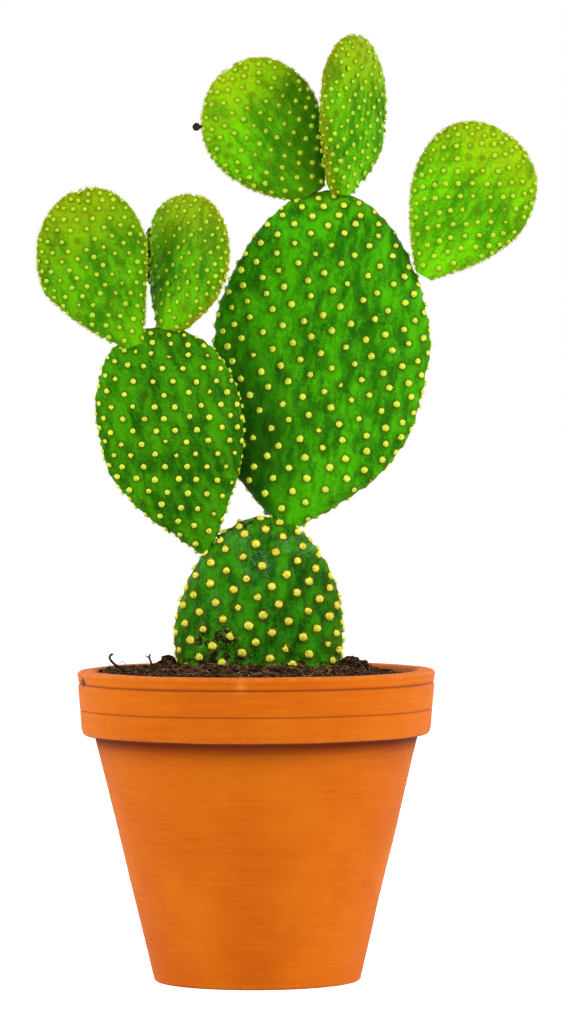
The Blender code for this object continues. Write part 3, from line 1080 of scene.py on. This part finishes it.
def area_light(name, place, size, power):
    """A round softbox turned to the object's middle and unseen by the camera."""
    light = bpy.data.lights.new(name, "AREA")
    light.shape = "DISK"
    light.size = size
    light.energy = power
    lamp = bpy.data.objects.new(name, light)
    lamp.location = place
    lamp.rotation_euler = (Vector(LIT_MIDDLE) - Vector(place)).to_track_quat("-Z", "Y").to_euler()
    lamp.visible_camera = False
    bpy.context.scene.collection.objects.link(lamp)


def make_stage():
    """A white floor that shows brighter than it lights."""
    bm = bmesh.new()
    bmesh.ops.create_circle(bm, cap_ends=True, segments=96, radius=STAGE_RADIUS)
    mesh = finish_mesh("floor", bm, smooth=False)
    floor = bpy.data.objects.new("floor", mesh)
    bpy.context.scene.collection.objects.link(floor)
    material, shader, principled = new_material("pale_floor", 0.9, 0.0)
    principled.inputs["Base Color"].default_value = (0.8, 0.8, 0.8, 1)
    principled.inputs["Emission Color"].default_value = (1, 1, 1, 1)
    path = shader.add("ShaderNodeLightPath")
    glow = shader.math("MULTIPLY", path.outputs["Is Camera Ray"], FLOOR_GLOW)
    shader.tree.links.new(glow, principled.inputs["Emission Strength"])
    mesh.materials.append(material)


def make_light():
    """A white room that lights less than it shows, with a softbox at each side and edge lights behind."""
    scene = bpy.context.scene
    world = bpy.data.worlds.new("soft_room")
    world.use_nodes = True
    shader = Shader(world.node_tree)
    path = shader.add("ShaderNodeLightPath")
    strength = shader.add(
        "ShaderNodeMapRange",
        {"Value": path.outputs["Is Camera Ray"], "To Min": ROOM_LIGHT, "To Max": 1.0},
    )
    background = world.node_tree.nodes["Background"]
    background.inputs["Color"].default_value = (1, 1, 1, 1)
    world.node_tree.links.new(strength.outputs[0], background.inputs["Strength"])
    scene.world = world
    for light in LIGHTS:
        area_light(*light)
    scene.view_settings.view_transform = "Standard"
    scene.view_settings.look = "None"


def make_camera():
    camera = bpy.data.cameras.new("camera")
    camera.lens = CAMERA_LENS
    camera.sensor_width = CAMERA_SENSOR
    camera.clip_end = 50
    holder = bpy.data.objects.new("camera", camera)
    holder.location = AXIS + Vector(CAMERA_PLACE)
    down = math.radians(CAMERA_DOWN)
    roll = math.radians(CAMERA_ROLL)
    holder.rotation_euler = (
        Matrix.Rotation(math.pi / 2 - down, 3, "X") @ Matrix.Rotation(roll, 3, "Z")
    ).to_euler()
    bpy.context.scene.collection.objects.link(holder)
    bpy.context.scene.camera = holder


# ---------------------------------------------------------------- making it all


def main():
    groups = {"patchy": mottle_group(), "relief": grain_group()}
    old = skin_material(
        "old_skin", groups, (0.003, 0.055, 0.001), (0.040, 0.315, 0.003), (0.05, 0.20, 0.004), 0.97,
        (0.050, 0.060, 0.002), 0.25, aged=True,
    )
    grown = skin_material(
        "grown_skin", groups, (0.014, 0.125, 0.001), (0.070, 0.455, 0.001), (0.14, 0.40, 0.002), 0.93,
        (0.038, 0.080, 0.001), 0.25,
    )
    # Painted shade: a darker copy of the grown skin, for the left pad
    lower = skin_material(
        "painted_darker_skin", groups, (0.010, 0.095, 0.001), (0.062, 0.350, 0.001), (0.13, 0.36, 0.002), 0.93,
        (0.038, 0.070, 0.001), 0.25,
    )
    young = skin_material(
        "young_skin", groups, (0.028, 0.185, 0.001), (0.142, 0.505, 0.001), (0.29, 0.48, 0.002), 0.48,
        (0.100, 0.150, 0.001), 0.85,
    )
    # Painted light: a brighter copy of the young skin, for the right ear and the top left ear
    painted_light_copy = skin_material(
        "painted_lighter_skin", groups, (0.040, 0.250, 0.001), (0.185, 0.680, 0.001), (0.35, 0.62, 0.002), 0.48,
        (0.120, 0.190, 0.001), 0.85,
    )
    # Painted shade: the young pad between the left ears shows its edge, painted near black, with darker
    # greens and flecks
    hidden = skin_material(
        "painted_shade_skin", groups, (0.016, 0.120, 0.001), (0.075, 0.340, 0.001), (0.003, 0.012, 0.001), 0.99,
        (0.050, 0.090, 0.002), 1.0, fleck=(0.010, 0.016, 0.002),
    )
    old_tuft = tuft_material(
        "old_tufts", groups, (0.48, 0.24, 0.006), (0.90, 0.92, 0.060), (0.92, 1.0, 0.170), marked=0.75
    )
    tuft = tuft_material(
        "grown_tufts", groups, (0.36, 0.34, 0.004), (0.80, 0.96, 0.055), (0.84, 1.0, 0.150), marked=0.25
    )
    young_tuft = tuft_material(
        "young_tufts", groups, (0.20, 0.30, 0.003), (0.50, 0.80, 0.032), (0.58, 0.92, 0.070)
    )
    hairs = tuft_material(
        "fringe_hairs", groups, (0.34, 0.24, 0.004), (0.70, 0.62, 0.020), (0.90, 0.92, 0.120)
    )
    # Painted shade: the young pad's tufts are painted dark
    tufts_in_painted_shade = tuft_material(
        "painted_shade_tufts", groups, (0.05, 0.07, 0.004), (0.14, 0.20, 0.012), (0.24, 0.32, 0.03)
    )
    finishes = {"old_skin": (old, old_tuft), "grown_skin": (grown, tuft), "young_skin": (young, young_tuft)}
    shapes = [tuft_shape(seed, TUFT_BRISTLES) for seed in range(TUFT_SHAPES)]
    spots = {name: growing(name, pad) for name, pad in PADS.items()}
    for name, pad in PADS.items():
        # The young pad takes the skin and tufts painted with shade
        skin, hair = (hidden, tufts_in_painted_shade) if name == "young_pad" else finishes[pad.slot]
        # The left pad takes a darker copy of its skin as painted shade; the right ear and the top left ear
        # take a brighter copy as painted light
        skin = {"right_ear": painted_light_copy, "top_left_ear": painted_light_copy, "left_pad": lower}.get(name, skin)
        # The neighbours' tufts that paint shade on this pad
        shade_casters = [
            tuple(placing(PADS[other]) @ spot[0])
            for other in NEIGHBOUR_SHADE_FROM.get(name, ())
            for spot in spots[other]
        ]
        show(name + "_skin", pad_skin(name + "_skin", pad, spots[name], shade_casters), skin, (name,))
        tufts(name, pad, spots[name], shapes, hair)
        if pad.slot == "young_skin" and name != "young_pad":
            fringe(name, pad, hairs)
    for shape in shapes:
        bpy.data.meshes.remove(shape)
    make_pot(terracotta_material(groups))
    ground = soil_material(
        "soil", groups, (0.016, 0.008, 0.0035), (0.085, 0.042, 0.017), (0.28, 0.17, 0.08)
    )
    crumbs = soil_material(
        "soil_crumbs", groups, (0.012, 0.005, 0.0015), (0.120, 0.056, 0.018), (0.42, 0.26, 0.12)
    )
    fibres = soil_material("fibres", groups, (0.12, 0.055, 0.018), (0.45, 0.28, 0.14), (0.80, 0.62, 0.42))
    bark = soil_material("bark", groups, (0.012, 0.008, 0.006), (0.055, 0.035, 0.022), (0.10, 0.07, 0.05))
    make_soil(ground)
    make_crumbs(crumbs)
    make_fibres(fibres)
    make_twigs(bark)
    make_bud(bark)
    make_stage()
    make_light()
    make_camera()


main()
